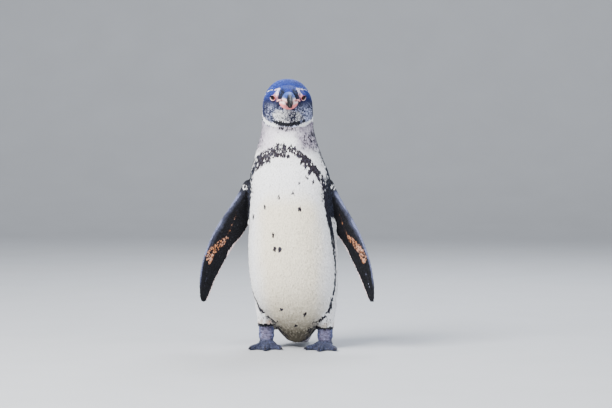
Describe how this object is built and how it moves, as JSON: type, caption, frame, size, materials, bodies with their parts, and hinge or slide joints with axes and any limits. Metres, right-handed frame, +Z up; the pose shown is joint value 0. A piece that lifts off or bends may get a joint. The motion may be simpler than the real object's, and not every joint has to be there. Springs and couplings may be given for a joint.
{
  "type": "galapagos penguin",
  "caption": "Life-size still model of a small black and white penguin standing upright, flippers held out, head facing forward.",
  "frame": {"origin": "on the floor, under the middle of the whole bird's bounding box", "axes": "+Z up; the bird faces -Y, so its left side is +X"},
  "size_m": [0.274, 0.2236, 0.42],
  "materials": {
    "coat_head": "short dense feathers, black-brown with a blue-grey sheen, white line round the cheek, mottled chin",
    "coat_neck": "short feathers, mottled grey-brown and white",
    "coat_trunk": "close white breast and belly feathers, dark mottled band, slate-black back",
    "coat_dark": "stiff dark tail feathers",
    "coat_flipper": "tiny scale-like feathers, near black with a pale trailing edge and a pinkish patch",
    "bill_horn": "dark satin horn with growth ridges",
    "bill_lower_horn": "pinkish horn, dark towards the tip",
    "eye": "wet, dark red-brown iris and black pupil",
    "leg_skin": "scaled mauve-grey skin",
    "foot_skin": "black scaled skin with a blue-grey sheen and webbing",
    "claw_horn": "dark worn horn"
  },
  "bodies": {
    "root": {"head": "coat_head", "neck": "coat_neck", "trunk": "coat_trunk", "tail": "coat_dark", "bill_upper": "bill_horn", "bill_lower": "bill_lower_horn", "eye_right": "eye", "flipper_right": "coat_flipper", "leg_right": "leg_skin", "foot_right": "foot_skin", "claw_right_inner": "claw_horn", "claw_right_middle": "claw_horn", "claw_right_outer": "claw_horn", "claw_right_hind": "claw_horn", "eye_left": "eye", "flipper_left": "coat_flipper", "leg_left": "leg_skin", "foot_left": "foot_skin", "claw_left_inner": "claw_horn", "claw_left_middle": "claw_horn", "claw_left_outer": "claw_horn", "claw_left_hind": "claw_horn"}
  },
  "joints": []
}
